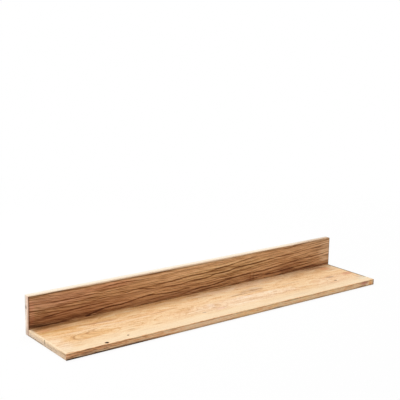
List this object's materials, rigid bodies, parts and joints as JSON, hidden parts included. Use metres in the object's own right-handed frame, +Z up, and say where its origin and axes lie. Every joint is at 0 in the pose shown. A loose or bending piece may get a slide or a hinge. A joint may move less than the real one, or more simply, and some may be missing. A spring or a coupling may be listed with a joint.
{
  "type": "wall shelf",
  "caption": "Long wall shelf of solid wood, L-shaped in section: a flat shelf board with a low back board behind it, hung on keyhole plates let into the back.",
  "frame": {"origin": "on the wall, on the shelf's underside, halfway along its length", "axes": "+X along the shelf to the right as seen from the room, +Y into the wall, +Z up; the room is at -Y"},
  "size_m": [1.2, 0.24, 0.12],
  "materials": {
    "shelf_wood": "oiled, satin",
    "back_wood": "oiled, satin",
    "dowel_wood": "bare beech",
    "screw_steel": "zinc plated",
    "plate_steel": "zinc plated, stamped"
  },
  "bodies": {
    "root": {"shelf_front_stave": "shelf_wood", "shelf_rear_stave": "shelf_wood", "back_board": "back_wood", "joint_dowels": "dowel_wood", "joint_screws": "screw_steel", "left_hanger_plate": "plate_steel", "right_hanger_plate": "plate_steel", "hanger_screws": "screw_steel"}
  },
  "joints": []
}
